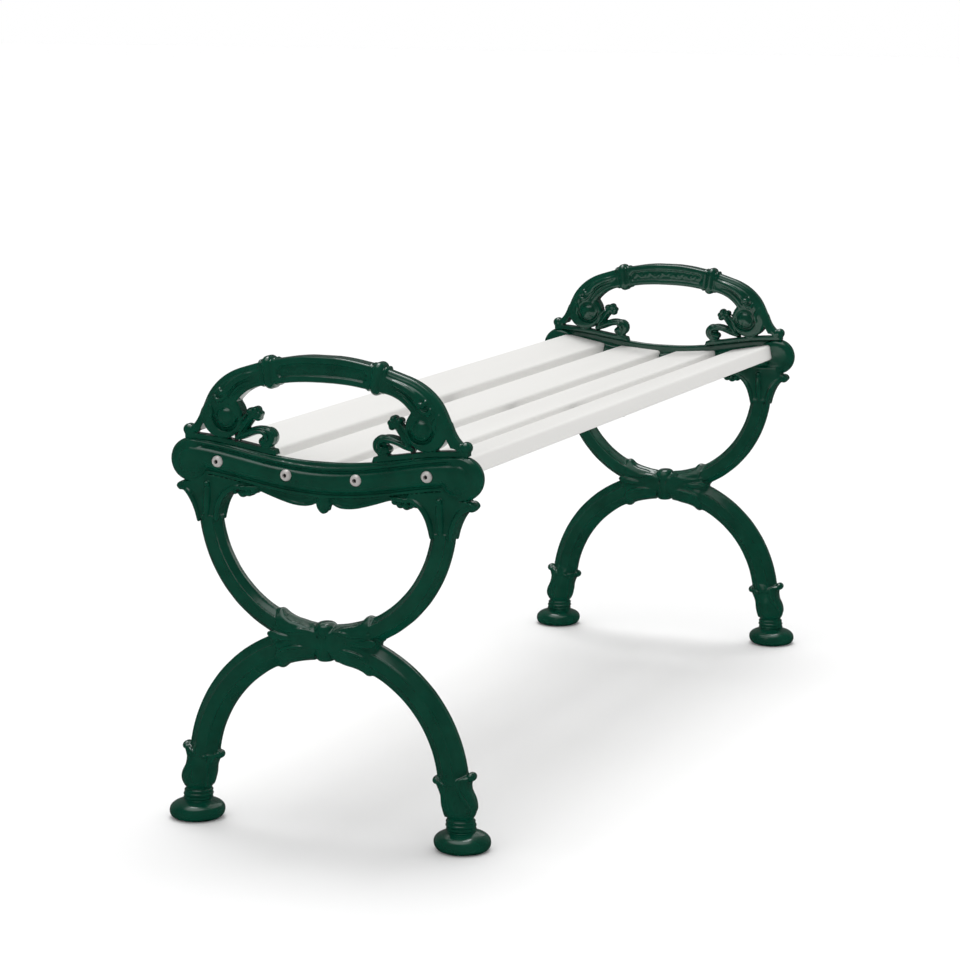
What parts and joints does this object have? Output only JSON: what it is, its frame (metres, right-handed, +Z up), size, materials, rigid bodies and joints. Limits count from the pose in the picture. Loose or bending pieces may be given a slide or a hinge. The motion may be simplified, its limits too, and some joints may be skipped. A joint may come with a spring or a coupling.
{
  "type": "garden bench",
  "caption": "Backless park bench: painted white slats on a shallow dish between ornate cast ends with crossed legs, bun feet and scrolled armrests.",
  "frame": {"origin": "on the floor under the middle of the bench", "axes": "+Z up, X along the slats, -Y towards the front"},
  "size_m": [1.2672, 0.4172, 0.575],
  "materials": {
    "green_casting": "gloss dark green paint on cast metal",
    "white_slat": "satin opaque white paint on planed wood",
    "stainless": "turned stainless steel",
    "zinc_steel": "zinc-plated steel",
    "galvanised_bar": "hot-dip galvanised flat steel bar",
    "pad_rubber": "matt black moulded rubber"
  },
  "bodies": {
    "root": {"front_slat": "white_slat", "inner_front_slat": "white_slat", "inner_rear_slat": "white_slat", "left_armrest": "green_casting", "left_armrest_bolts": "zinc_steel", "left_barrel_nuts": "zinc_steel", "left_end_frame": "green_casting", "left_front_foot_pad": "pad_rubber", "left_rear_foot_pad": "pad_rubber", "left_slat_screws": "stainless", "rear_slat": "white_slat", "right_armrest": "green_casting", "right_armrest_bolts": "zinc_steel", "right_barrel_nuts": "zinc_steel", "right_end_frame": "green_casting", "right_front_foot_pad": "pad_rubber", "right_rear_foot_pad": "pad_rubber", "right_slat_screws": "stainless", "seat_tie_bar": "galvanised_bar", "tie_bar_screws": "zinc_steel"}
  },
  "joints": []
}
